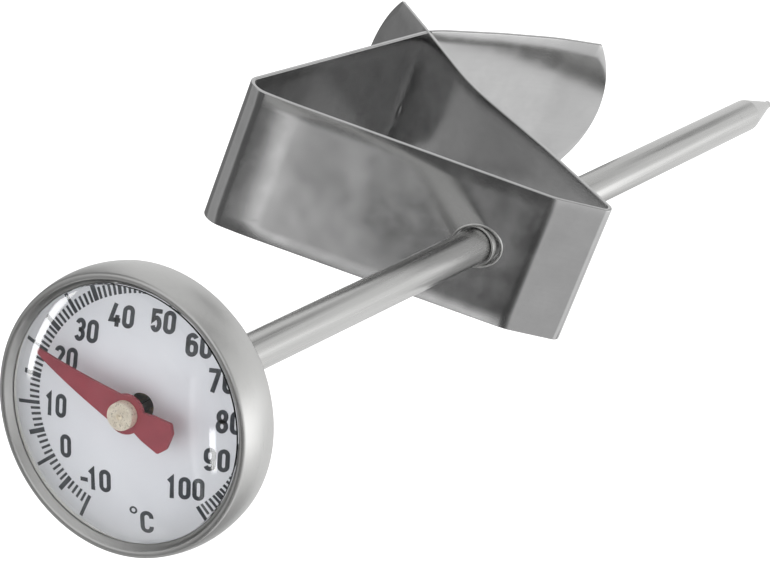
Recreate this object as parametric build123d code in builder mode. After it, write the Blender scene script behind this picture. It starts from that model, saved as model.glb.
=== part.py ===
"""Dial thermometer with a long thin stem and a folded strip clip that slides along it.

Frame: the origin is on the stem's axis at the immersion line, the shallow ring rolled into the stem.
+Y runs along the stem towards its tip, the dial faces -Y, and +Z is the dial's 12 o'clock.
All sizes are in millimetres.
"""

import os
from math import asin, atan2, cos, degrees, radians, sin, tan

from build123d import *

# ---- driving dimensions ----------------------------------------------------------------------
STEM_R = 2.0  # outer radius of the stem
STEM_WALL = 0.4
TIP_Y = 55.0  # the tip is this far past the immersion line
LIP_Y = -91.6  # the plane where the crystal's edge meets the bezel's lip

TIP_LENGTH = 7.0  # the cone at the stem's end
TIP_FLAT_R = 0.35
PLUG_LENGTH = 5.0  # full-width part of the tip, before the cone
SPIGOT_LENGTH = 3.0
LINE_HALF_WIDTH = 0.35  # the immersion line is a V groove
LINE_DEPTH = 0.2

BEZEL_R = 14.2  # at the widest, half way along its bulging side
BEZEL_INNER_R = 13.6
BEZEL_LIP_R = 12.7
BEZEL_SIDE_R = 9.75  # radius of the bulge, seen in section
BEZEL_SIDE_TURN = 14.25  # the side curves in by this angle, both forwards and backwards
BEZEL_MIDDLE = 2.5  # depths are measured back from the lip plane
BEZEL_ROLL_R = 0.4  # rounding of the bezel's front outer edge
BEZEL_ROLL_TURN = 145  # the roll goes on this far, into a cone that runs down to the lip

CRYSTAL_R = 12.6
CRYSTAL_APEX = -3.3
CRYSTAL_DOME_R = 23.1
CRYSTAL_BACK = 1.3
FLANGE_R = 13.5
FLANGE_FRONT = 0.75

CUP_R = 13.55
CUP_WALL = 0.4
CUP_CORNER_R = 2.4
CUP_FRONT = 1.8
CUP_BACK = 7.0

DIAL_FRONT = 3.7
DIAL_THICKNESS = 0.4
DIAL_R = 13.12
DIAL_HOLE_R = 1.15

SPINDLE_R = 0.4
RUNNING = 0.05  # radial clearance of everything that turns or slides on a shaft

HUB_FRONT = 1.45
HUB_R = 1.4
HUB_NECK_R = 0.8
HUB_BACK = 3.2
POINTER_FRONT = 2.05
POINTER_THICKNESS = 0.25
POINTER_REACH = 10.3
POINTER_TAIL = 4.6
POINTER_DISC_R = 1.7

DEGREES_PER_C = 2.706  # of turn on the dial for each degree Celsius
TOP_READING = 46.0  # the reading at 12 o'clock
REST_READING = 21.2
POINTER_ANGLE = (REST_READING - TOP_READING) * DEGREES_PER_C  # clockwise from +Z, seen from the front

BUSH_FLANGE_R = 2.4
STEM_TOP = 5.2  # depth of the stem's open end, inside the case

COIL_R = 1.15  # to the middle of the ribbon
COIL_WIDTH = 1.1
COIL_THICKNESS = 0.22
COIL_PITCH = 2.2
COIL_TURNS = 14

STRIP_WIDTH = 17.0
STRIP_THICKNESS = 0.5
STRIP_TURN = 20.6  # the clip stands turned by this angle about the stem
EYELET_R = 2.35
EYELET_LIP_R = 2.65


def at(depth):
    """Y of a plane that lies this far behind the lip plane."""
    return LIP_Y + depth


def revolved_ring(inner_r, outer_r, front, back):
    """A plain ring about the stem's axis, between two depths."""
    with BuildPart() as ring:
        with BuildSketch(Plane.XY):
            with Locations(((inner_r + outer_r) / 2, at((front + back) / 2))):
                Rectangle(outer_r - inner_r, back - front)
        revolve(axis=Axis.Y)
    return ring.part


def save(shape, name):
    shape.label = name
    export_step(shape, f"parts/{name}.step")
    print(f"{name}: {shape.volume:.1f} mm3")


os.makedirs("parts", exist_ok=True)

# ---- the head ----------------------------------------------------------------------------------
with BuildPart() as bezel_ring:
    with BuildSketch(Plane.XY):
        with BuildLine():
            side_centre = Vector(BEZEL_R - BEZEL_SIDE_R, at(BEZEL_MIDDLE))
            side = CenterArc(side_centre, BEZEL_SIDE_R, BEZEL_SIDE_TURN, -2 * BEZEL_SIDE_TURN)
            to_roll = Vector(cos(radians(BEZEL_SIDE_TURN)), -sin(radians(BEZEL_SIDE_TURN)))
            roll_centre = side_centre + to_roll * (BEZEL_SIDE_R - BEZEL_ROLL_R)
            roll = CenterArc(roll_centre, BEZEL_ROLL_R, -BEZEL_SIDE_TURN, BEZEL_SIDE_TURN - BEZEL_ROLL_TURN)
            cone = (roll @ 1).X - BEZEL_LIP_R
            Polyline(
                roll @ 1,
                (BEZEL_LIP_R, (roll @ 1).Y + cone * tan(radians(BEZEL_ROLL_TURN - 90))),
                (BEZEL_LIP_R, at(FLANGE_FRONT)),
                (BEZEL_INNER_R, at(FLANGE_FRONT)),
                (BEZEL_INNER_R, (side @ 0).Y),
                side @ 0,
            )
        make_face()
    revolve(axis=Axis.Y)
    back_rim = bezel_ring.edges().filter_by(GeomType.CIRCLE).sort_by(Axis.Y)[-2:].sort_by(SortBy.RADIUS)
    fillet(back_rim[-1], radius=0.2)
save(bezel_ring.part, "bezel_ring")

# The crystal is flat behind and domed in front, and the bezel holds it by a flange.
dome_half_angle = degrees(asin(CRYSTAL_R / CRYSTAL_DOME_R))
with BuildPart() as crystal:
    with BuildSketch(Plane.XY):
        with BuildLine():
            dome = CenterArc((0, at(CRYSTAL_APEX + CRYSTAL_DOME_R)), CRYSTAL_DOME_R, -90, dome_half_angle)
            Polyline(
                dome @ 1,
                (CRYSTAL_R, at(FLANGE_FRONT)),
                (FLANGE_R, at(FLANGE_FRONT)),
                (FLANGE_R, at(CRYSTAL_BACK)),
                (0, at(CRYSTAL_BACK)),
                dome @ 0,
            )
        make_face()
    revolve(axis=Axis.Y)
save(crystal.part, "crystal")

save(revolved_ring(13.0, FLANGE_R, CRYSTAL_BACK, CUP_FRONT), "crystal_gasket")
save(revolved_ring(12.5, 12.95, CRYSTAL_BACK, DIAL_FRONT), "dial_spacer")
save(revolved_ring(DIAL_HOLE_R, DIAL_R, DIAL_FRONT, DIAL_FRONT + DIAL_THICKNESS), "dial_plate")

COLLAR_NECK_R = 2.7
cup_inner_back = CUP_BACK - CUP_WALL
with BuildPart() as case_cup:
    with BuildSketch(Plane.XY):
        with BuildLine():
            corner_centre = (CUP_R - CUP_CORNER_R, at(CUP_BACK - CUP_CORNER_R))
            outside = CenterArc(corner_centre, CUP_CORNER_R, 0, 90)
            inside = CenterArc(corner_centre, CUP_CORNER_R - CUP_WALL, 0, 90)
            Polyline(inside @ 0, (CUP_R - CUP_WALL, at(CUP_FRONT)), (CUP_R, at(CUP_FRONT)), outside @ 0)
            Polyline(
                outside @ 1,
                (COLLAR_NECK_R, at(CUP_BACK)),
                (COLLAR_NECK_R, at(cup_inner_back)),
                inside @ 1,
            )
        make_face()
    revolve(axis=Axis.Y)
save(case_cup.part, "case_cup")

# The collar is brazed to the stem. Its flange sits inside the cup and its neck goes through the floor.
COLLAR_BACK = CUP_BACK + 0.7
with BuildPart() as stem_collar:
    with BuildSketch(Plane.XY):
        with BuildLine():
            Polyline(
                (STEM_R, at(STEM_TOP + 0.4)),
                (4.2, at(STEM_TOP + 0.4)),
                (4.2, at(cup_inner_back)),
                (COLLAR_NECK_R, at(cup_inner_back)),
                (COLLAR_NECK_R, at(COLLAR_BACK)),
                (STEM_R, at(COLLAR_BACK)),
                close=True,
            )
        make_face()
    revolve(axis=Axis.Y)
    neck_rim = stem_collar.edges().filter_by(GeomType.CIRCLE).sort_by(Axis.Y)[-2:].sort_by(SortBy.RADIUS)
    fillet(neck_rim[-1], radius=0.3)
save(stem_collar.part, "stem_collar")

# ---- the stem ----------------------------------------------------------------------------------
BORE_R = STEM_R - STEM_WALL
SEAM_Y = TIP_Y - TIP_LENGTH - PLUG_LENGTH
with BuildPart() as stem_tube:
    with BuildSketch(Plane.XY):
        with BuildLine():
            Polyline(
                (BORE_R, at(STEM_TOP)),
                (STEM_R, at(STEM_TOP)),
                (STEM_R, -LINE_HALF_WIDTH),
                (STEM_R - LINE_DEPTH, 0),
                (STEM_R, LINE_HALF_WIDTH),
                (STEM_R, SEAM_Y),
                (BORE_R, SEAM_Y),
                close=True,
            )
        make_face()
    revolve(axis=Axis.Y)
save(stem_tube.part, "stem_tube")

SPIGOT_R = BORE_R - 0.02
with BuildPart() as stem_tip:
    with BuildSketch(Plane.XY):
        with BuildLine():
            Polyline(
                (0, SEAM_Y - SPIGOT_LENGTH),
                (SPIGOT_R, SEAM_Y - SPIGOT_LENGTH),
                (SPIGOT_R, SEAM_Y),
                (STEM_R, SEAM_Y),
                (STEM_R, TIP_Y - TIP_LENGTH),
                (TIP_FLAT_R, TIP_Y),
                (0, TIP_Y),
                close=True,
            )
        make_face()
    revolve(axis=Axis.Y)
    fillet(stem_tip.edges().filter_by(GeomType.CIRCLE).sort_by(Axis.Y)[-1], radius=0.2)
save(stem_tip.part, "stem_tip")

# ---- what turns, and what it turns in ------------------------------------------------------------
ANCHOR_LENGTH = 2.5
anchor_y = SEAM_Y - SPIGOT_LENGTH - ANCHOR_LENGTH
coil_length = COIL_PITCH * COIL_TURNS
coil_start_y = anchor_y - coil_length - COIL_WIDTH / 2
COUPLING_LENGTH = 2.5
coupling_y = coil_start_y - COIL_WIDTH / 2 - 0.5 - COUPLING_LENGTH

with BuildPart() as coil_anchor:
    with BuildSketch(Plane.XZ.offset(-anchor_y)):
        Circle(1.2)
    extrude(amount=-ANCHOR_LENGTH)
save(coil_anchor.part, "coil_anchor")

with BuildPart() as bimetal_coil:
    with BuildLine():
        turns = Helix(
            pitch=COIL_PITCH, height=coil_length, radius=COIL_R, center=(0, coil_start_y, 0), direction=(0, 1, 0)
        )
    with BuildSketch(Plane(origin=turns @ 0, x_dir=turns @ 0 - Vector(0, coil_start_y, 0), z_dir=turns % 0)):
        Rectangle(COIL_THICKNESS, COIL_WIDTH)
    sweep(path=turns, is_frenet=True)
save(bimetal_coil.part, "bimetal_coil")

with BuildPart() as coil_coupling:
    with BuildSketch(Plane.XZ.offset(-coupling_y)):
        Circle(1.1)
        Circle(SPINDLE_R, mode=Mode.SUBTRACT)
    extrude(amount=-COUPLING_LENGTH)
save(coil_coupling.part, "coil_coupling")

spindle_front_y = at(HUB_FRONT + 0.15)
spindle_back_y = coupling_y + COUPLING_LENGTH
with BuildPart() as spindle:
    with BuildSketch(Plane.XZ.offset(-spindle_front_y)):
        Circle(SPINDLE_R)
    extrude(amount=spindle_front_y - spindle_back_y)
save(spindle.part, "spindle")

GUIDE_LENGTH = 3.0
guide_y = (at(STEM_TOP) + coupling_y) / 2
with BuildPart() as spindle_guide:
    with BuildSketch(Plane.XZ.offset(-guide_y)):
        Circle(SPIGOT_R)
        Circle(SPINDLE_R + RUNNING, mode=Mode.SUBTRACT)
    extrude(amount=-GUIDE_LENGTH)
save(spindle_guide.part, "spindle_guide")

BUSH_LENGTH = 3.0
with BuildPart() as guide_bush:
    with BuildSketch(Plane.XY):
        with BuildLine():
            Polyline(
                (SPINDLE_R + RUNNING, at(STEM_TOP - 0.5)),
                (BUSH_FLANGE_R, at(STEM_TOP - 0.5)),
                (BUSH_FLANGE_R, at(STEM_TOP)),
                (SPIGOT_R, at(STEM_TOP)),
                (SPIGOT_R, at(STEM_TOP + BUSH_LENGTH)),
                (SPINDLE_R + RUNNING, at(STEM_TOP + BUSH_LENGTH)),
                close=True,
            )
        make_face()
    revolve(axis=Axis.Y)
save(guide_bush.part, "guide_bush")

# The hub has a wide head in front of the pointer and a thin neck through it.
with BuildPart() as pointer_hub:
    with BuildSketch(Plane.XY):
        with BuildLine():
            Polyline(
                (SPINDLE_R, at(HUB_FRONT)),
                (HUB_R, at(HUB_FRONT)),
                (HUB_R, at(POINTER_FRONT)),
                (HUB_NECK_R, at(POINTER_FRONT)),
                (HUB_NECK_R, at(HUB_BACK)),
                (SPINDLE_R, at(HUB_BACK)),
                close=True,
            )
        make_face()
    revolve(axis=Axis.Y)
    head_rim = pointer_hub.edges().filter_by(GeomType.CIRCLE).sort_by(Axis.Y)[:2].sort_by(SortBy.RADIUS)
    chamfer(head_rim[-1], length=0.08)
save(pointer_hub.part, "pointer_hub")

turn = radians(POINTER_ANGLE)
pointer_plane = Plane(origin=(0, at(POINTER_FRONT), 0), x_dir=(-cos(turn), 0, sin(turn)), z_dir=(0, 1, 0))
blade_root_y = 0.6
TIP_HALF = 0.22
BLADE_HALF = 1.45
NECK_HALF = 0.85
TAIL_HALF = 1.5
with BuildPart() as pointer:
    with BuildSketch(pointer_plane):
        Circle(POINTER_DISC_R)
        with BuildLine():
            Polyline(
                (-TIP_HALF, POINTER_REACH),
                (TIP_HALF, POINTER_REACH),
                (BLADE_HALF, blade_root_y),
                (-BLADE_HALF, blade_root_y),
                close=True,
            )
        make_face()
        with BuildLine():
            Polyline(
                (-NECK_HALF, 0),
                (NECK_HALF, 0),
                (1.25, -2.2),
                (TAIL_HALF, -POINTER_TAIL + 0.3),
                (TAIL_HALF / 2, -POINTER_TAIL),
                (-TAIL_HALF / 2, -POINTER_TAIL),
                (-TAIL_HALF, -POINTER_TAIL + 0.3),
                (-1.25, -2.2),
                close=True,
            )
        make_face()
        Circle(HUB_NECK_R, mode=Mode.SUBTRACT)
    extrude(amount=POINTER_THICKNESS)
save(pointer.part, "pointer")

# ---- the clip ------------------------------------------------------------------------------------
# The strip runs from the short ear, down the back leg, round the fold, up the front leg, round the
# rounded bend, along the arm and out to the curved tail. The ear and the tail cross in half-width slots.
# Points are (distance behind the lip plane, distance from the stem's axis) along the strip's middle.
EAR_END = (99.1, 33.5)
CROSSING = (93.4, 24.7)
BACK_UPPER = (86.4, 14.4)
BACK_LOWER = (81.9, 1.6)
FOLD = (76.6, -10.9)
KINK = (71.9, -5.6)
BEND = (56.4, 27.6)
FRONT_MIDDLE = ((KINK[0] + BEND[0]) / 2, (KINK[1] + BEND[1]) / 2)
TAIL_ROOT = (94.5, 24.9)
TAIL_MIDDLE = (104.0, 20.3)
TAIL_OUTER = (111.2, 16.3)
TAIL_END = (118.4, 10.9)

CROSSING_BEND_R = 25
FOLD_R = 0.9
BEND_R = 2.0
TAIL_ROOT_R = 12
END_ROUND_R = 13.6  # both ends are cut round by the same punch
END_TRIM = 12.0  # more than either rounded end takes off
SLOT_CLEARANCE = 0.12
BACK_HOLE_CLEARANCE = 0.35
HOLE_REACH = 4.0  # more than the slanting strip's depth at a hole
EYELET_LIP = 0.25
HALF_WIDTH = STRIP_WIDTH / 2

leg_slant = atan2(KINK[0] - BEND[0], BEND[1] - KINK[1])
eyelet_depth = KINK[0] + KINK[1] * tan(leg_slant)  # where the front leg meets the stem's axis
back_slope = (BACK_LOWER[0] - FOLD[0]) / (BACK_LOWER[1] - FOLD[1])
back_hole_depth = BACK_LOWER[0] - BACK_LOWER[1] * back_slope

strip_turn = radians(STRIP_TURN)
across = (sin(strip_turn), 0, cos(strip_turn))  # along the strip's width
clip_plane = Plane(origin=(0, LIP_Y, 0), x_dir=(0, 1, 0), z_dir=across)


def strip_stretch(points, radii, thickness, low, high):
    """The strip bent along these points, between two places along its width."""
    with BuildPart() as stretch:
        with BuildSketch(clip_plane.offset(low)):
            with BuildLine():
                FilletPolyline(*points, radius=radii)
            trace(line_width=thickness)
        extrude(amount=high - low)
    return stretch.part


def end_plane(before, end):
    """The plane of the strip's flat end: local X points out of the end, local Y runs across the strip."""
    place = clip_plane.from_local_coords(Vector(*end, 0))
    run = (place - clip_plane.from_local_coords(Vector(*before, 0))).normalized()
    return Plane(origin=place, x_dir=run, z_dir=run.cross(Vector(*across)))


def hole_plane(depth):
    """A plane square to the stem, this far behind the lip plane."""
    return Plane(origin=(0, at(depth), 0), x_dir=(1, 0, 0), z_dir=(0, 1, 0))


back_points = [EAR_END, CROSSING, BACK_UPPER, BACK_LOWER, FOLD, KINK, FRONT_MIDDLE]
back_radii = [CROSSING_BEND_R, 30, 30, FOLD_R, 6]
front_points = [FRONT_MIDDLE, BEND, TAIL_ROOT, TAIL_MIDDLE, TAIL_OUTER, TAIL_END]
front_radii = [BEND_R, TAIL_ROOT_R, 30, 30]
slot_width = STRIP_THICKNESS + 2 * SLOT_CLEARANCE

# The arm and tail, slotted from the upper edge to the middle.
with BuildPart() as arm:
    add(strip_stretch(front_points, front_radii, STRIP_THICKNESS, -HALF_WIDTH, HALF_WIDTH))
    ear_points = [EAR_END, CROSSING, BACK_UPPER]
    add(
        strip_stretch(ear_points, [CROSSING_BEND_R], slot_width, -SLOT_CLEARANCE, STRIP_WIDTH),
        mode=Mode.SUBTRACT,
    )
    with BuildSketch(end_plane(TAIL_OUTER, TAIL_END)):
        Rectangle(END_TRIM, STRIP_WIDTH + 2)
        with Locations((-END_ROUND_R, 0)):
            Circle(END_ROUND_R, mode=Mode.SUBTRACT)
    extrude(amount=END_TRIM / 2, both=True, mode=Mode.SUBTRACT)

# The ear, the back leg and half of the front leg, slotted from the lower edge, and then the arm.
with BuildPart() as clip_strip:
    add(strip_stretch(back_points, back_radii, STRIP_THICKNESS, -HALF_WIDTH, HALF_WIDTH))
    tail_points = [BEND, TAIL_ROOT, TAIL_MIDDLE]
    add(
        strip_stretch(tail_points, [TAIL_ROOT_R], slot_width, -STRIP_WIDTH, SLOT_CLEARANCE),
        mode=Mode.SUBTRACT,
    )
    with BuildSketch(end_plane(CROSSING, EAR_END)):
        Rectangle(END_TRIM, STRIP_WIDTH + 2)
        with Locations((-END_ROUND_R, 0)):
            Circle(END_ROUND_R, mode=Mode.SUBTRACT)
    extrude(amount=END_TRIM / 2, both=True, mode=Mode.SUBTRACT)
    add(arm.part)
    with BuildSketch(hole_plane(eyelet_depth)):
        Circle(EYELET_R + RUNNING)
    extrude(amount=HOLE_REACH, both=True, mode=Mode.SUBTRACT)
    with BuildSketch(hole_plane(back_hole_depth)):
        Circle(STEM_R + BACK_HOLE_CLEARANCE)
    extrude(amount=HOLE_REACH, both=True, mode=Mode.SUBTRACT)
save(clip_strip.part, "clip_strip")

# The eyelet lines the front leg's hole and rides on the stem. Its lips clear the slanting leg.
lip_clearance = EYELET_LIP_R * tan(leg_slant) + STRIP_THICKNESS / 2 / cos(leg_slant) + RUNNING
with BuildPart() as clip_eyelet:
    with BuildSketch(Plane.XY):
        with BuildLine():
            inner = STEM_R + RUNNING
            front_y = at(eyelet_depth) - lip_clearance
            back_y = at(eyelet_depth) + lip_clearance
            Polyline(
                (inner, front_y - EYELET_LIP),
                (EYELET_LIP_R, front_y - EYELET_LIP),
                (EYELET_LIP_R, front_y),
                (EYELET_R, front_y),
                (EYELET_R, back_y),
                (EYELET_LIP_R, back_y),
                (EYELET_LIP_R, back_y + EYELET_LIP),
                (inner, back_y + EYELET_LIP),
                close=True,
            )
        make_face()
    revolve(axis=Axis.Y)
save(clip_eyelet.part, "clip_eyelet")

print(f"front hole {eyelet_depth:.2f} and back hole {back_hole_depth:.2f} behind the lip plane")
print(f"pointer at rest {POINTER_ANGLE:.2f} degrees")
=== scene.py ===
"""Looks of the dial thermometer: printed dial under a domed crystal, long stem, folded strip clip."""

import math

import bmesh
import bpy
from mathutils import Matrix, Vector


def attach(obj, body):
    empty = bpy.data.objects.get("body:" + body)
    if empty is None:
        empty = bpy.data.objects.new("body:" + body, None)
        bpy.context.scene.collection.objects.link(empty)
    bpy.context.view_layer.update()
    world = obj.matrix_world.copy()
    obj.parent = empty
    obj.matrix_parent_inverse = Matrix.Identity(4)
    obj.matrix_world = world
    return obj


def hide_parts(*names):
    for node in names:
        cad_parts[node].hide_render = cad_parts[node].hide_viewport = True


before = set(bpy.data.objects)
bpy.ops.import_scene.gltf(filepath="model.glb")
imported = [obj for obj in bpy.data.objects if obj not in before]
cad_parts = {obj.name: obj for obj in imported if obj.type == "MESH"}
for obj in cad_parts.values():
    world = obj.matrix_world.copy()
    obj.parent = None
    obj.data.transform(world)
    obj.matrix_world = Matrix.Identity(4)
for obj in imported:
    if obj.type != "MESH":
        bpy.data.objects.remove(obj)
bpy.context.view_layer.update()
scene = bpy.context.scene
scene.view_settings.view_transform = "Standard"

# Sizes are in millimetres. The stem lies along +Y, and depths are measured back from the bezel's lip.
MM = 0.001
LIP_Y = -91.6

# the clip stands turned about the stem: these run along the strip's width and away from the stem
TURN = math.radians(20.6)
ACROSS = Vector((math.sin(TURN), 0.0, math.cos(TURN)))
OUTWARD = Vector((-math.cos(TURN), 0.0, math.sin(TURN)))


# ---- node helpers ------------------------------------------------------------------------------
class Tree:
    """A short way to write a material's or the world's node tree."""

    def __init__(self, owner):
        owner.use_nodes = True
        self.tree = owner.node_tree
        self.tree.nodes.clear()

    def node(self, kind, inputs=None, **props):
        n = self.tree.nodes.new(kind)
        for k, v in props.items():
            setattr(n, k, v)
        for k, v in (inputs or {}).items():
            self.put(n.inputs[k], v)
        return n

    def put(self, socket, value):
        if isinstance(value, bpy.types.NodeSocket):
            self.tree.links.new(value, socket)
        else:
            socket.default_value = value

    def math(self, op, *args):
        n = self.tree.nodes.new("ShaderNodeMath")
        n.operation = op
        for i, a in enumerate(args):
            self.put(n.inputs[i], a)
        return n.outputs[0]

    def vector(self, op, a, b):
        n = self.tree.nodes.new("ShaderNodeVectorMath")
        n.operation = op
        self.put(n.inputs[0], a)
        self.put(n.inputs[1], b)
        return n.outputs["Value"] if op == "DOT_PRODUCT" else n.outputs["Vector"]

    def remap(self, value, a, b, to_a=0.0, to_b=1.0, smooth=False):
        n = self.node("ShaderNodeMapRange", interpolation_type="SMOOTHSTEP" if smooth else "LINEAR")
        for k, v in (("Value", value), ("From Min", a), ("From Max", b), ("To Min", to_a), ("To Max", to_b)):
            self.put(n.inputs[k], v)
        return n.outputs[0]

    def noise(self, vector, scale, detail=3.0, rough=0.5, w=None):
        n = self.node("ShaderNodeTexNoise", noise_dimensions="3D" if w is None else "4D")
        for k, v in (("Vector", vector), ("Scale", scale), ("Detail", detail), ("Roughness", rough)):
            self.put(n.inputs[k], v)
        if w is not None:
            self.put(n.inputs["W"], w)
        return n.outputs["Fac"]

    def mix(self, fac, a, b):
        n = self.node("ShaderNodeMix", data_type="RGBA")
        self.put(n.inputs["Factor"], fac)
        self.put(n.inputs["A"], a)
        self.put(n.inputs["B"], b)
        return n.outputs["Result"]

    def bump(self, height, strength, distance, under=None):
        n = self.node("ShaderNodeBump", {"Height": height, "Strength": strength, "Distance": distance})
        if under is not None:
            self.put(n.inputs["Normal"], under)
        return n.outputs["Normal"]


def rgb(r, g, b):
    return (r, g, b, 1.0)


def material(name):
    """A new material with its tree, its shader's inputs and the place on the object."""
    m = bpy.data.materials.new(name)
    t = Tree(m)
    shader = t.node("ShaderNodeBsdfPrincipled")
    out = t.node("ShaderNodeOutputMaterial")
    t.tree.links.new(shader.outputs[0], out.inputs[0])
    place = t.node("ShaderNodeTexCoord").outputs["Object"]
    return m, t, shader.inputs, place


def turned_steel(name, colour, rough_low, rough_high, line_bump):
    """Stainless steel polished round the stem's axis, with fine lines along the circle."""
    m, t, s, place = material(name)
    x, y, z = t.node("ShaderNodeSeparateXYZ", {0: place}).outputs
    r = t.math("SQRT", t.math("ADD", t.math("MULTIPLY", x, x), t.math("MULTIPLY", z, z)))
    inv = t.math("DIVIDE", 0.0016, t.math("MAXIMUM", r, 1e-5))
    squeezed = {0: t.math("MULTIPLY", x, inv), 1: t.math("MULTIPLY", y, 3.2), 2: t.math("MULTIPLY", z, inv)}
    around = t.node("ShaderNodeCombineXYZ", squeezed).outputs[0]
    lines = t.noise(around, 1900, 3.0, 0.65, w=t.math("MULTIPLY", r, 6000.0))
    cloud = t.noise(place, 260, 3.0, 0.55)
    dents = t.noise(place, 1500, 2.0, 0.6)
    both = t.math("ADD", t.math("MULTIPLY", lines, 0.7), t.math("MULTIPLY", cloud, 0.3))
    t.put(s["Base Color"], t.mix(t.remap(both, 0.3, 0.7), rgb(*[c * 0.86 for c in colour]), rgb(*colour)))
    s["Metallic"].default_value = 1.0
    t.put(s["Roughness"], t.remap(both, 0.3, 0.7, rough_low, rough_high))
    height = t.math("ADD", t.math("MULTIPLY", lines, line_bump), t.math("MULTIPLY", dents, 0.25))
    t.put(s["Normal"], t.bump(height, 0.22, 0.00003))
    return m


def drawn_steel(name, colour, rough_low, rough_high):
    """Stainless tube polished along its length."""
    m, t, s, place = material(name)
    streaks = t.noise(t.vector("MULTIPLY", place, (1.0, 0.018, 1.0)), 4200, 3.0, 0.6)
    fine = t.noise(t.vector("MULTIPLY", place, (1.0, 0.05, 1.0)), 9000, 2.0, 0.6)
    cloud = t.noise(place, 150, 3.0, 0.5)
    both = t.math("ADD", t.math("MULTIPLY", streaks, 0.7), t.math("MULTIPLY", cloud, 0.3))
    t.put(s["Base Color"], t.mix(t.remap(both, 0.3, 0.7), rgb(*[c * 0.88 for c in colour]), rgb(*colour)))
    s["Metallic"].default_value = 1.0
    t.put(s["Roughness"], t.remap(both, 0.3, 0.7, rough_low, rough_high))
    height = t.math("ADD", streaks, t.math("MULTIPLY", fine, 0.5))
    t.put(s["Normal"], t.bump(height, 0.14, 0.00003))
    return m


def rolled_steel(name, colour, rough_low, rough_high):
    """Cold-rolled strip: half bright, slightly cloudy, with faint lines along the strip and small scuffs."""
    m, t, s, place = material(name)
    cloud = t.noise(place, 90, 4.0, 0.55)
    patches = t.noise(place, 380, 3.0, 0.6)
    up = t.vector("DOT_PRODUCT", place, tuple(ACROSS))
    lines = t.noise(t.node("ShaderNodeCombineXYZ", {0: up, 1: 0.0, 2: 0.0}).outputs[0], 5200, 4.0, 0.7)
    grain = t.noise(place, 9000, 2.0, 0.6)
    scuffs = t.remap(t.noise(t.vector("MULTIPLY", place, (1.0, 1.0, 5.0)), 420, 5.0, 0.75), 0.60, 0.72)
    both = t.math("ADD", t.math("MULTIPLY", cloud, 0.55), t.math("MULTIPLY", patches, 0.45))
    tint = t.mix(t.remap(both, 0.32, 0.68), rgb(*[c * 0.84 for c in colour]), rgb(*colour))
    tint = t.mix(t.math("MULTIPLY", t.remap(lines, 0.35, 0.65), 0.16), tint, rgb(*[c * 0.72 for c in colour]))
    t.put(s["Base Color"], tint)
    s["Metallic"].default_value = 1.0
    rough = t.remap(both, 0.32, 0.68, rough_low, rough_high)
    t.put(s["Roughness"], t.math("ADD", rough, t.math("MULTIPLY", scuffs, 0.04)))
    height = t.math("ADD", t.math("MULTIPLY", lines, 0.5), t.math("MULTIPLY", grain, 0.06))
    waves = t.bump(t.noise(place, 110, 2.0, 0.4), 0.35, 0.0002)
    t.put(s["Normal"], t.bump(height, 0.05, 0.00003, waves))
    return m


def brass(name, colour, dark, rough, specks=0.0, size=2400, metallic=1.0):
    """Brass or another copper alloy, blotchy, with small dark specks."""
    m, t, s, place = material(name)
    blot = t.noise(place, size, 4.0, 0.65)
    spots = t.remap(t.noise(place, size * 2.2, 3.0, 0.7), 0.56, 0.66)
    tint = t.mix(t.remap(blot, 0.35, 0.65), rgb(*dark), rgb(*colour))
    t.put(s["Base Color"], t.mix(t.math("MULTIPLY", spots, specks), tint, rgb(0.16, 0.10, 0.05)))
    s["Metallic"].default_value = metallic
    t.put(s["Roughness"], t.remap(blot, 0.3, 0.7, rough, rough + 0.12))
    t.put(s["Normal"], t.bump(t.math("ADD", blot, spots), 0.25, 0.00003))
    return m


def coated(name, colour, dark, rough, scale=900):
    """Paint, lacquer, enamel or moulded plastic with a little unevenness."""
    m, t, s, place = material(name)
    blot = t.noise(place, scale, 4.0, 0.6)
    t.put(s["Base Color"], t.mix(t.remap(blot, 0.3, 0.7), rgb(*dark), rgb(*colour)))
    s["Metallic"].default_value = 0.0
    t.put(s["Roughness"], t.remap(blot, 0.3, 0.7, rough - 0.05, rough + 0.05))
    t.put(s["Normal"], t.bump(t.noise(place, scale * 8, 3.0, 0.6), 0.08, 0.00002))
    return m


def crystal_material():
    """Clear moulded acrylic, very slightly uneven."""
    m, t, s, place = material("crystal_clear")
    s["Base Color"].default_value = rgb(0.985, 0.992, 1.0)
    s["Transmission Weight"].default_value = 1.0
    s["IOR"].default_value = 1.49
    s["Roughness"].default_value = 0.0
    t.put(s["Normal"], t.bump(t.noise(place, 60, 1.0, 0.4), 0.02, 0.0002))
    return m


head_steel = turned_steel("head_stainless", (0.66, 0.66, 0.65), 0.24, 0.36, 1.0)
stem_steel = drawn_steel("stem_stainless", (0.64, 0.64, 0.63), 0.20, 0.30)
strip_steel = rolled_steel("strip_stainless", (0.63, 0.63, 0.63), 0.13, 0.22)
eyelet_steel = turned_steel("eyelet_stainless", (0.62, 0.62, 0.61), 0.20, 0.30, 0.5)
dark_steel = drawn_steel("spindle_steel", (0.52, 0.52, 0.51), 0.25, 0.35)
hub_brass = brass("hub_brass", (0.93, 0.85, 0.71), (0.78, 0.69, 0.55), 0.38, specks=0.6, metallic=0.3)
inner_brass = brass("inner_brass", (0.55, 0.46, 0.25), (0.20, 0.19, 0.09), 0.32, specks=0.3, size=1500)
coil_metal = brass("bimetal_ribbon", (0.55, 0.48, 0.38), (0.38, 0.33, 0.27), 0.35)
dial_white = coated("dial_enamel", (0.80, 0.808, 0.842), (0.765, 0.773, 0.81), 0.42, scale=240)
ink = coated("print_ink", (0.028, 0.034, 0.042), (0.045, 0.052, 0.064), 0.5, scale=1600)
red = coated("pointer_lacquer", (0.36, 0.052, 0.072), (0.30, 0.042, 0.060), 0.36)
cream = coated("spacer_cream", (0.96, 0.955, 0.88), (0.92, 0.91, 0.83), 0.5, scale=500)
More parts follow.
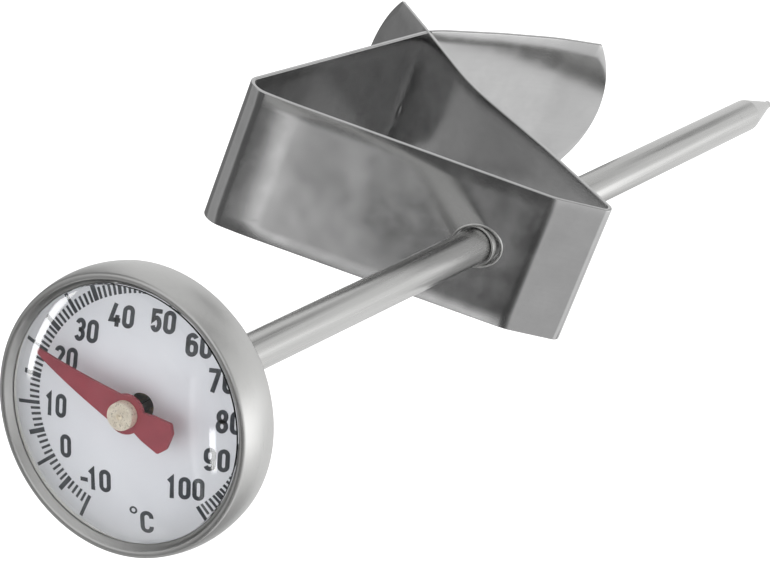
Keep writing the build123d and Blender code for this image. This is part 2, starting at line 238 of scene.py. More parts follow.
black_rubber = coated("gasket_black", (0.03, 0.03, 0.03), (0.02, 0.02, 0.02), 0.7, scale=700)
clear = crystal_material()


# ---- mesh helpers ------------------------------------------------------------------------------
def finish_mesh(name, bm, mat, body, nodes=(), sharp=38.0):
    """Makes a piece that rides on the body and stands for the CAD nodes, if any are given."""
    bmesh.ops.recalc_face_normals(bm, faces=bm.faces)
    mesh = bpy.data.meshes.new(name)
    bm.to_mesh(mesh)
    bm.free()
    mesh.materials.append(mat)
    mesh.shade_smooth()
    mesh.set_sharp_from_angle(angle=math.radians(sharp))
    obj = bpy.data.objects.new(name, mesh)
    scene.collection.objects.link(obj)
    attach(obj, body)
    if nodes:
        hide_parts(*nodes)
    return obj


def arc(cr, cy, radius, start, end, steps=10):
    """Points (radius, y) on a circle's arc, angles in degrees from the +radius direction towards +y."""
    a = [math.radians(start + (end - start) * i / steps) for i in range(steps + 1)]
    return [(cr + radius * math.cos(x), cy + radius * math.sin(x)) for x in a]


def at(depth):
    """The y of a place this far behind the lip plane."""
    return LIP_Y + depth


def lathe(name, profile, mat, body, nodes=(), segments=192, sharp=38.0):
    """A closed profile of (radius, y) in mm turned about the stem's axis."""
    bm = bmesh.new()
    rings = []
    for r, y in profile:
        if r < 1e-6:
            rings.append([bm.verts.new((0, y * MM, 0))])
        else:
            rings.append(
                [
                    bm.verts.new((r * MM * math.cos(a), y * MM, r * MM * math.sin(a)))
                    for a in (2 * math.pi * k / segments for k in range(segments))
                ]
            )
    count = len(rings)
    for i in range(count):
        a, b = rings[i], rings[(i + 1) % count]
        if len(a) == 1 and len(b) == 1:
            continue
        for k in range(segments):
            j = (k + 1) % segments
            if len(a) == 1:
                bm.faces.new((a[0], b[k], b[j]))
            elif len(b) == 1:
                bm.faces.new((a[k], b[0], a[j]))
            else:
                bm.faces.new((a[k], b[k], b[j], a[j]))
    return finish_mesh(name, bm, mat, body, nodes, sharp)


# ---- head --------------------------------------------------------------------------------------
BEZEL_R, SIDE_R, SIDE_TURN, ROLL_R, ROLL_TURN, LIP_R = 14.2, 9.75, 14.25, 0.4, 145, 12.7
BEZEL_MIDDLE, BEZEL_INNER_R = 2.5, 13.6
FLANGE_FRONT, FLANGE_R = 0.75, 13.5  # of the crystal, behind the bezel's lip
side = arc(BEZEL_R - SIDE_R, at(BEZEL_MIDDLE), SIDE_R, SIDE_TURN - 0.9, -SIDE_TURN, 24)
roll_r = BEZEL_R - SIDE_R + (SIDE_R - ROLL_R) * math.cos(math.radians(SIDE_TURN))
roll_y = at(BEZEL_MIDDLE) - (SIDE_R - ROLL_R) * math.sin(math.radians(SIDE_TURN))
roll = arc(roll_r, roll_y, ROLL_R, -SIDE_TURN, -ROLL_TURN, 24)
back_y = at(BEZEL_MIDDLE) + SIDE_R * math.sin(math.radians(SIDE_TURN))
lip_y = roll[-1][1] + (roll[-1][0] - LIP_R) * math.tan(math.radians(ROLL_TURN - 90))
bezel_profile = (
    side
    + roll[1:]
    + [(LIP_R + 0.05, lip_y - 0.05), (LIP_R + 0.02, lip_y - 0.02), (LIP_R, lip_y + 0.03)]
    + [(LIP_R, at(FLANGE_FRONT - 0.03)), (LIP_R + 0.03, at(FLANGE_FRONT)), (BEZEL_INNER_R, at(FLANGE_FRONT))]
    + [(BEZEL_INNER_R, back_y - 0.02), (BEZEL_INNER_R + 0.02, back_y)]
    + arc(side[0][0] - 0.149, back_y - 0.15, 0.15, 90, 15, 6)
)
lathe("bezel", bezel_profile, head_steel, "root", ["bezel_ring"], 256)

CUP_R, CUP_WALL, CORNER_R, CUP_FRONT, CUP_BACK = 13.55, 0.4, 2.4, 1.8, 7.0
NECK_R, NECK_BACK, NECK_ROUND_R = 2.7, 7.7, 0.3  # where the collar comes out of the cup
corner = (CUP_R - CORNER_R, at(CUP_BACK - CORNER_R))
cup_profile = (
    [(CUP_R, at(CUP_FRONT)), (CUP_R, corner[1])]
    + arc(*corner, CORNER_R, 0, 90, 24)[1:]
    + [(NECK_R + 0.04, at(CUP_BACK)), (NECK_R, at(CUP_BACK - 0.04)), (NECK_R, at(CUP_BACK - CUP_WALL))]
    + arc(*corner, CORNER_R - CUP_WALL, 90, 0, 20)
    + [(CUP_R - CUP_WALL, at(CUP_FRONT))]
)
lathe("case_back", cup_profile, head_steel, "root", ["case_cup"], 256)

STEM_R, BORE_R, SEAM_Y, TIP_Y = 2.0, 1.6, 43.0, 55.0
COLLAR_R, COLLAR_THICK = 4.2, 1.0
collar_back = at(CUP_BACK - CUP_WALL)
collar_front = collar_back - COLLAR_THICK
round_y = at(NECK_BACK - NECK_ROUND_R)
collar_profile = (
    [(STEM_R, collar_front), (COLLAR_R, collar_front), (COLLAR_R, collar_back), (NECK_R, collar_back)]
    + [(NECK_R, round_y)]
    + arc(NECK_R - NECK_ROUND_R, round_y, NECK_ROUND_R, 0, 90, 8)[1:]
    + [(STEM_R + 0.08, at(NECK_BACK)), (STEM_R, at(NECK_BACK - 0.08))]
)
lathe("collar", collar_profile, head_steel, "root", ["stem_collar"], 128)

DOME_R, APEX, CRYSTAL_R, GLASS_BACK = 23.1, -3.3, 12.6, 1.3
half = math.degrees(math.asin(CRYSTAL_R / DOME_R))
crystal_profile = (
    [(0.0, at(APEX))]
    + arc(0.0, at(APEX + DOME_R), DOME_R, -90, -90 + half, 56)[1:]
    + [(CRYSTAL_R, at(FLANGE_FRONT - 0.05)), (CRYSTAL_R + 0.05, at(FLANGE_FRONT))]
    + [(FLANGE_R, at(FLANGE_FRONT)), (FLANGE_R, at(GLASS_BACK)), (0.0, at(GLASS_BACK))]
)
lathe("crystal_dome", crystal_profile, clear, "root", ["crystal"], 256, sharp=30)

# ---- stem --------------------------------------------------------------------------------------
STEM_FRONT = 5.2
# a narrow groove at y = 0 marks how deep the stem goes in
stem_profile = (
    [(BORE_R, at(STEM_FRONT)), (STEM_R - 0.05, at(STEM_FRONT)), (STEM_R, at(STEM_FRONT + 0.05))]
    + [(STEM_R, -0.36), (STEM_R - 0.02, -0.31), (STEM_R - 0.19, -0.02), (STEM_R - 0.19, 0.02)]
    + [(STEM_R - 0.02, 0.31), (STEM_R, 0.36), (STEM_R, SEAM_Y - 0.015), (STEM_R - 0.012, SEAM_Y)]
    + [(BORE_R, SEAM_Y)]
)
lathe("stem", stem_profile, stem_steel, "root", ["stem_tube"], 128)

SPIGOT_R, SPIGOT_Y = BORE_R - 0.02, SEAM_Y - 3.0
tip_profile = (
    [(0.0, SPIGOT_Y), (SPIGOT_R - 0.08, SPIGOT_Y), (SPIGOT_R, SPIGOT_Y + 0.08), (SPIGOT_R, SEAM_Y)]
    + [(STEM_R - 0.012, SEAM_Y), (STEM_R, SEAM_Y + 0.015)]
    + [(STEM_R, 47.80), (STEM_R - 0.005, 47.90), (STEM_R - 0.018, 48.0), (STEM_R - 0.040, 48.12)]
    + [(0.52, 54.25), (0.47, 54.47)]
    + arc(0.20, TIP_Y - 0.30, 0.30, 25, 90, 8)
    + [(0.0, TIP_Y)]
)
lathe("tip", tip_profile, stem_steel, "root", ["stem_tip"], 128)

# ---- hub and pointer -----------------------------------------------------------------------------
HUB_R, HUB_FRONT, HUB_BASE, HUB_END, SHAFT_END = 1.25, 1.36, 2.05, 3.2, 1.595
hub_profile = (
    [(0.0, at(HUB_FRONT + 0.02)), (0.07, at(HUB_FRONT + 0.03)), (0.11, at(HUB_FRONT + 0.07))]
    + [(0.12, at(HUB_FRONT + 0.12)), (0.27, at(HUB_FRONT + 0.12)), (0.29, at(HUB_FRONT + 0.02))]
    + [(0.32, at(HUB_FRONT)), (HUB_R - 0.12, at(HUB_FRONT))]
    + arc(HUB_R - 0.08, at(HUB_FRONT + 0.08), 0.08, -90, 0, 4)
    + [(HUB_R, at(HUB_BASE - 0.03)), (HUB_R - 0.03, at(HUB_BASE)), (0.8, at(HUB_BASE))]
    + [(0.8, at(HUB_END - 0.04)), (0.76, at(HUB_END)), (0.4, at(HUB_END))]
    + [(0.4, at(SHAFT_END)), (0.0, at(SHAFT_END))]
)
lathe("hub", hub_profile, hub_brass, "needle", ["pointer_hub"], 96)


DEGREE = 2.706  # of turn on the dial for each degree Celsius
TOP = 46.0  # the reading at 12 o'clock
REST_READING = 21.2
REST_TURN = math.radians((REST_READING - TOP) * DEGREE)
AHEAD = Vector((math.sin(REST_TURN), 0.0, math.cos(REST_TURN)))
ASIDE = Vector((math.cos(REST_TURN), 0.0, -math.sin(REST_TURN)))
POINTER_FRONT, POINTER_THICK, POINTER_EDGE = at(HUB_BASE), 0.25, 0.05
DISC_R, TIP_REACH, TIP_HALF, BLADE_HALF, NECK_HALF = 1.7, 10.3, 0.20, 1.12, 0.95
TAIL_HALF, TAIL_REACH, TAIL_CORNER = 1.48, 4.6, 0.62
BLADE_ROOT_HALF = 1.25


def pointer_outline():
    """Half the outline, as (along, aside), from the tip round the disc to the tail's end."""
    blade_meet = math.degrees(math.asin(BLADE_ROOT_HALF / DISC_R))
    neck_meet = 180 - math.degrees(math.asin(NECK_HALF / DISC_R))
    disc = [
        (DISC_R * math.cos(math.radians(a)), DISC_R * math.sin(math.radians(a)))
        for a in (blade_meet + (neck_meet - blade_meet) * k / 16 for k in range(17))
    ]
    tail = [
        (-2.3, 1.22),
        (-TAIL_REACH + TAIL_CORNER, TAIL_HALF),
        (-TAIL_REACH + TAIL_CORNER * 0.75, TAIL_HALF * 0.97),
        (-TAIL_REACH + 0.04, TAIL_HALF * 0.55),
        (-TAIL_REACH, TAIL_HALF * 0.45),
    ]
    return [(TIP_REACH, TIP_HALF * 0.7), (TIP_REACH - 0.08, TIP_HALF)] + [(2.2, BLADE_HALF)] + disc + tail


half_outline = pointer_outline()
outline = half_outline + [(a, -b) for a, b in reversed(half_outline)]


def shrunk(points, gap):
    """The closed outline moved inwards by gap."""
    out = []
    n = len(points)
    for i in range(n):
        p, q, r = Vector(points[i - 1]), Vector(points[i]), Vector(points[(i + 1) % n])
        u, v = (q - p).normalized(), (r - q).normalized()
        nu, nv = Vector((u.y, -u.x)), Vector((v.y, -v.x))
        m = (nu + nv).normalized()
        out.append(q + m * (gap / max(0.5, m.dot(nu))))
    return out


# the pointer's outline at each depth from its front, smaller where its edges are rounded
bm = bmesh.new()
levels = [
    (shrunk(outline, POINTER_EDGE), 0.0),
    (shrunk(outline, POINTER_EDGE * 0.3), POINTER_EDGE * 0.3),
    (outline, POINTER_EDGE),
    (outline, POINTER_THICK - POINTER_EDGE / 2),
    (shrunk(outline, POINTER_EDGE / 2), POINTER_THICK),
]
rings = [
    [bm.verts.new((AHEAD * a + ASIDE * b + Vector((0, POINTER_FRONT + depth, 0))) * MM) for a, b in points]
    for points, depth in levels
]
for low, high in zip(rings, rings[1:]):
    for k in range(len(low)):
        j = (k + 1) % len(low)
        bm.faces.new((low[k], low[j], high[j], high[k]))
bm.faces.new(rings[0])
bm.faces.new(list(reversed(rings[-1])))
finish_mesh("pointer_red", bm, red, "needle", ["pointer"], sharp=50)


# ---- clip ----------------------------------------------------------------------------------------
WIDE, THICK, END_R, CLEAR = 17.0, 0.5, 13.6, 0.006
# points are (distance behind the lip plane, distance from the stem's axis), from the ear to the tail
BACK_LOWER, FOLD, KINK, LEG_TOP, BEND = (81.9, 1.6), (76.6, -10.9), (71.9, -5.6), (58.4, 22.4), (56.4, 27.6)
PATH = [
    (99.1, 33.5),
    (93.4, 24.7),
    (86.4, 14.4),
    BACK_LOWER,
    FOLD,
    KINK,
    LEG_TOP,
    BEND,
    (94.5, 24.9),
    (104.0, 20.3),
    (111.2, 16.3),
    (118.4, 10.9),
]
RADII = [25, 30, 30, 0.9, 6, 50, 2.0, 12, 30, 30]  # of the bends at the points between the two ends


def rounded_path(points, radii):
    """The line along the points with rounded bends: a list of (place, direction or None)."""
    out = []
    for i, p in enumerate(points):
        p = Vector(p)
        if i in (0, len(points) - 1):
            out.append((p, None))
            continue
        a, b = (Vector(points[i - 1]) - p).normalized(), (Vector(points[i + 1]) - p).normalized()
        angle = math.acos(max(-1, min(1, a.dot(b))))
        r = radii[i - 1]
        reach = r / math.tan(angle / 2)
        centre = p + (a + b).normalized() * (r / math.sin(angle / 2))
        start, end = p + a * reach, p + b * reach
        u, v = start - centre, end - centre
        swing = math.atan2(u.x * v.y - u.y * v.x, u.dot(v))
        n = max(4, int(abs(swing) / math.radians(2.5)), int(abs(swing) * r / 0.5))
        for k in range(n + 1):
            c, s = math.cos(swing * k / n), math.sin(swing * k / n)
            q = Vector((u.x * c - u.y * s, u.x * s + u.y * c))
            d = Vector((-q.y, q.x)).normalized() * (1 if swing > 0 else -1)
            out.append((centre + q, d))
    return out


def densify(path, step):
    """Adds points on the straight stretches, and gives each its direction and its way from the start."""
    pts = []
    for i, (p, d) in enumerate(path):
        if i:
            q, e = path[i - 1]
            gap = (p - q).length
            if gap > step * 1.5:
                run = (p - q).normalized()
                n = math.ceil(gap / step)
                pts += [(q + (p - q) * (k / n), run) for k in range(1, n)]
        if d is None:
            j = i + 1 if i + 1 < len(path) else i - 1
            d = (path[j][0] - p).normalized() * (1 if j > i else -1)
        pts.append((p, d))
    way, out = 0.0, []
    for i, (p, d) in enumerate(pts):
        if i:
            way += (p - pts[i - 1][0]).length
        out.append((way, p, d))
    return out


def point_at(stations, way):
    """The place and the direction this far along the strip."""
    for (a, p, d), (b, q, e) in zip(stations, stations[1:]):
        if a <= way <= b:
            k = (way - a) / max(b - a, 1e-9)
            return p.lerp(q, k), d.lerp(e, k).normalized()
    return stations[-1][1], stations[-1][2]


stations = densify(rounded_path(PATH, RADII), 1.2)
total = stations[-1][0]


def crossing(stations):
    """How far along the strip it crosses itself, twice, and the angle between the two runs."""
    for i in range(len(stations) - 1):
        p, q = stations[i][1], stations[i + 1][1]
        for j in range(i + 3, len(stations) - 1):
            a, b = stations[j][1], stations[j + 1][1]
            r, s, w = q - p, b - a, a - p
            det = r.x * s.y - r.y * s.x
            if abs(det) < 1e-12:
                continue
            k, m = (w.x * s.y - w.y * s.x) / det, (w.x * r.y - w.y * r.x) / det
            if 0 <= k < 1 and 0 <= m < 1:
                angle = math.acos(abs(r.normalized().dot(s.normalized())))
                return stations[i][0] + k * r.length, stations[j][0] + m * s.length, angle
    raise RuntimeError("the strip's ends don't cross")


first_cross, second_cross, cross_angle = crossing(stations)
notch = (THICK / 2 + CLEAR) / math.sin(cross_angle) + THICK / 2 / math.tan(cross_angle)
HALF_WIDE = WIDE / 2
end_reach = END_R - math.sqrt(END_R**2 - HALF_WIDE**2)


def half_width(way):
    """Half the strip's width this far along it; both ends are round."""
    d = min(way, total - way)
    return HALF_WIDE if d >= end_reach else math.sqrt(2 * END_R * d - d * d)


# the strip's cross-sections: how far along each is, and its low and high edge across the width
END_ROWS = 30
ways = {round(w, 5) for w, _, _ in stations if 3.0 < w < total - 3.0}
for k in range(1, END_ROWS + 1):
    d = END_R * (1 - math.cos(math.asin(HALF_WIDE / END_R) * k / END_ROWS))
    ways |= {round(d, 5), round(total - d, 5)}
sections = []
for w in sorted(ways):
    if abs(w - first_cross) > notch + 0.02 and abs(w - second_cross) > notch + 0.02:
        sections.append((w, -half_width(w), half_width(w)))
# at the crossing each run is notched over half its width, so that the two pass through each other
STEP = 1e-5
for middle, short in ((first_cross, (CLEAR, HALF_WIDE)), (second_cross, (-HALF_WIDE, -CLEAR))):
    full = (-half_width(middle), half_width(middle))
    start, end = middle - notch, middle + notch
    sections += [(w, *full) for w in (start, end)]
    sections += [(w, *short) for w in (start + STEP, middle, end - STEP)]
sections.sort()

EDGE = 0.10  # how much the strip's long edges are rounded
LANES = 10  # faces side by side across the strip
bm = bmesh.new()
loops = []
for w, low, high in sections:
    p, d = point_at(stations, w)
    normal = Vector((-d.y, d.x))
    e = min(EDGE, (high - low) * 0.45)
    h = THICK / 2
    ring = []
    corners = ((high - e, h - e, 0), (low + e, h - e, 90), (low + e, -h + e, 180), (high - e, -h + e, 270))
    for cx, cn, start in corners:
        corner_pts = [
            (cx + e * math.cos(math.radians(start + 30 * k)), cn + e * math.sin(math.radians(start + 30 * k)))
            for k in range(4)
        ]
        if start in (90, 270):
            last = ring[-1]
            ring += [
                (last[0] + (corner_pts[0][0] - last[0]) * k / LANES, last[1]) for k in range(1, LANES)
            ]
        ring += corner_pts
    loop = []
    for x, n in ring:
        q = p + normal * n
        loop.append(bm.verts.new((Vector((0, at(q.x), 0)) + OUTWARD * q.y + ACROSS * x) * MM))
    loops.append(loop)
for a, b in zip(loops, loops[1:]):
    for k in range(len(a)):
        j = (k + 1) % len(a)
        bm.faces.new((a[k], a[j], b[j], b[k]))
for end in (loops[0], loops[-1]):
    bm.faces.new(end)
bmesh.ops.recalc_face_normals(bm, faces=bm.faces)
strip = finish_mesh("strip", bm, strip_steel, "clip", ["clip_strip"], sharp=40)


def drill(obj, radius, y):
    """A round hole through obj along the stem's axis, near this y."""
    cutter_mesh = bpy.data.meshes.new("cutter")
    b = bmesh.new()
    n, reach = 96, 4.0
    turns = [2 * math.pi * k / n for k in range(n)]
    ends = [
        [b.verts.new((radius * MM * math.cos(a), (y + s) * MM, radius * MM * math.sin(a))) for a in turns]
        for s in (-reach, reach)
    ]
    for k in range(n):
        j = (k + 1) % n
        b.faces.new((ends[0][k], ends[0][j], ends[1][j], ends[1][k]))
    b.faces.new(ends[0])
    b.faces.new(ends[1])
    bmesh.ops.recalc_face_normals(b, faces=b.faces)
    b.to_mesh(cutter_mesh)
    b.free()
    cutter = bpy.data.objects.new("cutter", cutter_mesh)
    scene.collection.objects.link(cutter)
    mod = obj.modifiers.new("hole", "BOOLEAN")
    mod.operation = "DIFFERENCE"
    mod.solver = "EXACT"
    mod.object = cutter
    bpy.context.view_layer.update()
    done = bpy.data.meshes.new_from_object(obj.evaluated_get(bpy.context.evaluated_depsgraph_get()))
    obj.modifiers.clear()
    obj.data = done
    bpy.data.objects.remove(cutter)


slant = math.atan2(KINK[0] - LEG_TOP[0], LEG_TOP[1] - KINK[1])
eyelet_depth = KINK[0] + KINK[1] * math.tan(slant)
back_depth = BACK_LOWER[0] - BACK_LOWER[1] * (BACK_LOWER[0] - FOLD[0]) / (BACK_LOWER[1] - FOLD[1])
EYELET_HOLE_R, BACK_HOLE_R = 2.40, 2.35
drill(strip, EYELET_HOLE_R, at(eyelet_depth))
drill(strip, BACK_HOLE_R, at(back_depth))
strip.data.shade_smooth()
strip.data.set_sharp_from_angle(angle=math.radians(40))

SLEEVE_R, SLEEVE_BORE_R, SLEEVE_HALF = 2.31, 2.05, 0.5
e0, e1 = at(eyelet_depth) - SLEEVE_HALF, at(eyelet_depth) + SLEEVE_HALF
eyelet_profile = (
    arc(SLEEVE_BORE_R + 0.05, e0 + 0.05, 0.05, 180, 270, 5)
    + arc(SLEEVE_R - 0.08, e0 + 0.08, 0.08, 270, 360, 5)
    + arc(SLEEVE_R - 0.08, e1 - 0.08, 0.08, 0, 90, 5)
    + arc(SLEEVE_BORE_R + 0.05, e1 - 0.05, 0.05, 90, 180, 5)
)
lathe("eyelet", eyelet_profile, eyelet_steel, "slider", ["clip_eyelet"], 128)


def hole_rim(name, side):
    """The rounded rim that is drawn up round the front leg's hole, on one side of the strip."""
    rim_r, bead = EYELET_HOLE_R + 0.1, 0.17
    normal = (Vector((0, math.cos(slant), 0)) + OUTWARD * math.sin(slant)) * side
    bm = bmesh.new()
    around, across = 96, 14
    rings = []
    for k in range(around):
        a = 2 * math.pi * k / around
        radial = ACROSS * math.cos(a) + OUTWARD * math.sin(a)
        lean = -math.tan(slant) * math.sin(a)
        middle = radial * rim_r + Vector((0, at(eyelet_depth) + rim_r * lean, 0)) + normal * (THICK / 2)
        away = (radial + Vector((0, lean, 0))).normalized()
        turns = [2 * math.pi * m / across for m in range(across)]
        ring = [middle + (away * math.cos(t) + normal * math.sin(t)) * bead for t in turns]
        rings.append([bm.verts.new(point * MM) for point in ring])
    for k in range(around):
        low, high = rings[k], rings[(k + 1) % around]
        for m in range(across):
            j = (m + 1) % across
            bm.faces.new((low[m], low[j], high[j], high[m]))
    finish_mesh(name, bm, eyelet_steel, "clip", sharp=60)


hole_rim("hole_rim_front", -1)
hole_rim("hole_rim_inside", 1)

# ---- the printed scale ---------------------------------------------------------------------------
DIAL_Y = at(3.7)
INK_THICK = 0.03
INK_Y = DIAL_Y - INK_THICK


def slab(bm, outline):
    """A thin flat-topped patch of ink from a closed outline of (x, z) in mm."""
    front = [bm.verts.new((x * MM, INK_Y * MM, z * MM)) for x, z in outline]
    back = [bm.verts.new((x * MM, DIAL_Y * MM, z * MM)) for x, z in outline]
    n = len(outline)
    bm.faces.new(front)
    bm.faces.new(list(reversed(back)))
    for k in range(n):
        j = (k + 1) % n
        bm.faces.new((front[k], back[k], back[j], front[j]))


bm = bmesh.new()
TICK_IN = 9.5
TEN_MARK, FIVE_MARK, ONE_MARK = (12.15, 0.30), (11.42, 0.40), (10.6, 0.21)  # outer radius and width
for reading in range(-10, 101):
    a = math.radians((reading - TOP) * DEGREE)
    outer, wide = TEN_MARK if reading % 10 == 0 else FIVE_MARK if reading % 5 == 0 else ONE_MARK
    corners = ((TICK_IN, -wide / 2), (TICK_IN, wide / 2), (outer, wide / 2), (outer, -wide / 2))
    slab(bm, [(math.sin(a) * r + math.cos(a) * q, math.cos(a) * r - math.sin(a) * q) for r, q in corners])
finish_mesh("scale_marks", bm, ink, "root", sharp=20)


def ribbon(bm, line, stroke, closed=False):
    """A stroke of even width along a line of points, as a thin patch of ink."""
    pts = [Vector(p) for p in line]
    n = len(pts)
    left, right = [], []
    for i in range(n):
        before = pts[i] - pts[i - 1] if i or closed else pts[1] - pts[0]
        after = pts[(i + 1) % n] - pts[i] if i < n - 1 or closed else pts[-1] - pts[-2]
        before, after = before.normalized(), after.normalized()
        nb, na = Vector((-before.y, before.x)), Vector((-after.y, after.x))
        m = (nb + na).normalized()
        k = stroke / 2 / max(0.45, m.dot(na))
        left.append(pts[i] + m * k)
        right.append(pts[i] - m * k)
    lf, lb, rf, rb = (
        [bm.verts.new((q.x * MM, y * MM, q.y * MM)) for q in edge]
        for edge in (left, right)
        for y in (INK_Y, DIAL_Y)
    )
    for k in range(n if closed else n - 1):
        j = (k + 1) % n
        bm.faces.new((lf[k], lf[j], rf[j], rf[k]))
        bm.faces.new((lb[k], rb[k], rb[j], lb[j]))
        bm.faces.new((lf[k], lb[k], lb[j], lf[j]))
        bm.faces.new((rf[k], rf[j], rb[j], rb[k]))
    if not closed:
        for k in (0, n - 1):
            bm.faces.new((lf[k], rf[k], rb[k], lb[k]))


def bow(cx, cy, rx, ry, start, end, steps=10):
    """Points along part of an ellipse, angles in degrees."""
    a = [math.radians(start + (end - start) * i / steps) for i in range(steps + 1)]
    return [(cx + rx * math.cos(x), cy + ry * math.sin(x)) for x in a]


def glyph(ch, w, h, s):
    """Centre lines of one character in a box w wide and h high, with stroke s: a list of (points, closed)."""
    x0, x1, y0, y1, xm, ym = s / 2, w - s / 2, s / 2, h - s / 2, w / 2, h / 2
    r = (x1 - x0) / 2
    if ch == "0":
        return [(bow(xm, y1 - r, r, r, 0, 180) + bow(xm, y0 + r, r, r, 180, 360), True)]
    if ch == "1":
        return [([(0.02 * w, h * 0.74), (w * 0.42, y1 - 0.01 * h), (w * 0.42, 0)], False)]
    if ch == "2":
        return [(bow(xm, y1 - r, r, r, 170, -15, 12) + [(x0 + 0.02, y0), (w, y0)], False)]
    if ch == "3":
        q = (y1 - ym) / 2
        return [
            (bow(xm, y1 - q, r, q, 160, -80, 12) + bow(xm, y0 + q, r, q, 80, -160, 12), False),
            ([(xm - 0.12 * w, ym), (xm + 0.15 * w, ym)], False),
        ]
    if ch == "4":
        slope = [(w * 0.52, h), (x0, h * 0.28), (w, h * 0.28)]
        return [(slope, False), ([(w * 0.72, h * 0.5), (w * 0.72, 0)], False)]
    if ch == "5":
        q = (h * 0.62 - y0) / 2
        flag = [(w - 0.02, y1), (x0 + 0.05, y1), (x0 + 0.02, ym + 0.02)]
        return [(flag + bow(xm, y0 + q, r, q, 130, -160, 14), False)]
    if ch in "69":
        q = min(r, (h * 0.60 - y0) / 2)
        ring = bow(xm, h * 0.60 - q, r, q, 0, 180) + bow(xm, y0 + q, r, q, 180, 360)
        hook = bow(xm, y1 - r, r, r, 20, 180) + [(x0, ym - 0.05 * h)]
        if ch == "6":
            return [(ring, True), (hook, False)]
        return [([(w - x, h - y) for x, y in ring], True), ([(w - x, h - y) for x, y in hook], False)]
    if ch == "7":
        return [([(0, y1), (x1, y1), (w * 0.36, 0)], False)]
    if ch == "8":
        q = (y1 - ym) / 2
        upper, lower = bow(xm, y1 - q, r * 0.92, q, 0, 360, 28), bow(xm, y0 + q, r, q, 0, 360, 28)
        return [(upper[:-1], True), (lower[:-1], True)]
    if ch == "C":
        return [(bow(xm, y1 - r, r, r, -12, 180) + bow(xm, y0 + r, r, r, 180, 372), False)]
    if ch == "o":
        return [(bow(xm, ym, r, r, 0, 360, 24)[:-1], True)]
    if ch == "-":
        return [([(0, h * 0.40), (w, h * 0.40)], False)]
    raise ValueError(ch)


WIDTHS = {"1": 0.70, "3": 0.95, "5": 0.90, "-": 0.66}  # of the full character width


def write(bm, text, centre, h, w, s, gap):
    """Text centred on a place of the dial, with characters h high and w wide and strokes s wide."""
    sizes = [w * WIDTHS.get(c, 1.0) for c in text]
    x = centre[0] - (sum(sizes) + gap * (len(text) - 1)) / 2
    for c, cw in zip(text, sizes):
        for line, closed in glyph(c, cw, h, s):
            ribbon(bm, [(x + px, centre[1] - h / 2 + pz) for px, pz in line], s, closed)
        x += cw + gap


NUMERALS = {
    "-10": (-3.90, -6.72),
    "0": (-6.68, -4.38),
    "10": (-7.66, -1.10),
    "20": (-7.06, 2.90),
    "30": (-5.35, 5.54),
    "40": (-2.28, 7.27),
    "50": (1.44, 7.34),
    "60": (4.72, 5.74),
    "70": (6.90, 3.04),
    "80": (7.78, -0.31),
    "90": (6.87, -3.62),
    "100": (4.28, -6.36),
}
bm = bmesh.new()
NUMERAL_HIGH, NUMERAL_WIDE, STROKE, LETTER_GAP = 1.98, 1.05, 0.36, 0.18
for text, centre in NUMERALS.items():
    write(bm, text, centre, NUMERAL_HIGH, NUMERAL_WIDE, STROKE, LETTER_GAP)
finish_mesh("scale_numbers", bm, ink, "root", sharp=20)
bm = bmesh.new()
write(bm, "o", (-0.48, -8.92), 0.70, 0.70, 0.16, 0)
write(bm, "C", (0.72, -9.92), 2.16, 1.20, 0.37, 0)
finish_mesh("scale_unit", bm, ink, "root", sharp=20)

# ---- materials of the nodes that stay --------------------------------------------------------------
KEPT = {
    "dial_plate": (dial_white, "dial_paint"),
    "dial_spacer": (cream, "spacer_plastic"),
    "crystal_gasket": (black_rubber, "gasket_rubber"),
    "spindle": (dark_steel, "spindle_steel"),
    "spindle_guide": (inner_brass, "brass"),
    "guide_bush": (inner_brass, "brass"),
    "coil_coupling": (inner_brass, "brass"),
    "coil_anchor": (inner_brass, "brass"),
    "bimetal_coil": (coil_metal, "bimetal"),
}
for name, (mat, slot) in KEPT.items():
    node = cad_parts[name]
    node.data.materials.clear()
    node.data.materials.append(mat)
for name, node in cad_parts.items():
    if name not in KEPT:
        node.data.materials.clear()
        node.data.materials.append(head_steel)

# ---- studio ----------------------------------------------------------------------------------------
floor_mesh = bpy.data.meshes.new("floor")
b = bmesh.new()
bmesh.ops.create_grid(b, x_segments=1, y_segments=1, size=6.0)
b.to_mesh(floor_mesh)
b.free()
floor = bpy.data.objects.new("floor", floor_mesh)
scene.collection.objects.link(floor)
floor.location = (0, 0, -(BEZEL_R + 0.1) * MM)
fm = bpy.data.materials.new("pale_floor")
ft = Tree(fm)
lit = ft.node("ShaderNodeEmission", {"Color": rgb(1, 1, 1), "Strength": 1.05})
plain = ft.node("ShaderNodeBsdfDiffuse", {"Color": rgb(0.28, 0.28, 0.28)})
both = ft.node("ShaderNodeAddShader", {0: lit.outputs[0], 1: plain.outputs[0]})
ft.node("ShaderNodeOutputMaterial", {"Surface": both.outputs[0]})
floor_mesh.materials.append(fm)
# shiny and clear surfaces see the studio's light where the floor would be
floor.visible_glossy = False
floor.visible_transmission = False

world = bpy.data.worlds.new("studio")
scene.world = world
wt = Tree(world)
way = wt.node("ShaderNodeTexCoord").outputs["Generated"]
xyz = wt.node("ShaderNodeSeparateXYZ", {0: way}).outputs
azimuth = wt.math("MULTIPLY", wt.math("ARCTAN2", xyz[0], xyz[1]), 180 / math.pi)
height = wt.math("MULTIPLY", wt.math("ARCSINE", xyz[2]), 180 / math.pi)


def window_of(value, low, high, soft):
    """1 between low and high and 0 outside, with soft edges."""
    return wt.math(
        "MULTIPLY",
        wt.remap(value, low - soft, low + soft, smooth=True),
        wt.remap(value, high - soft, high + soft, 1.0, 0.0, smooth=True),
    )


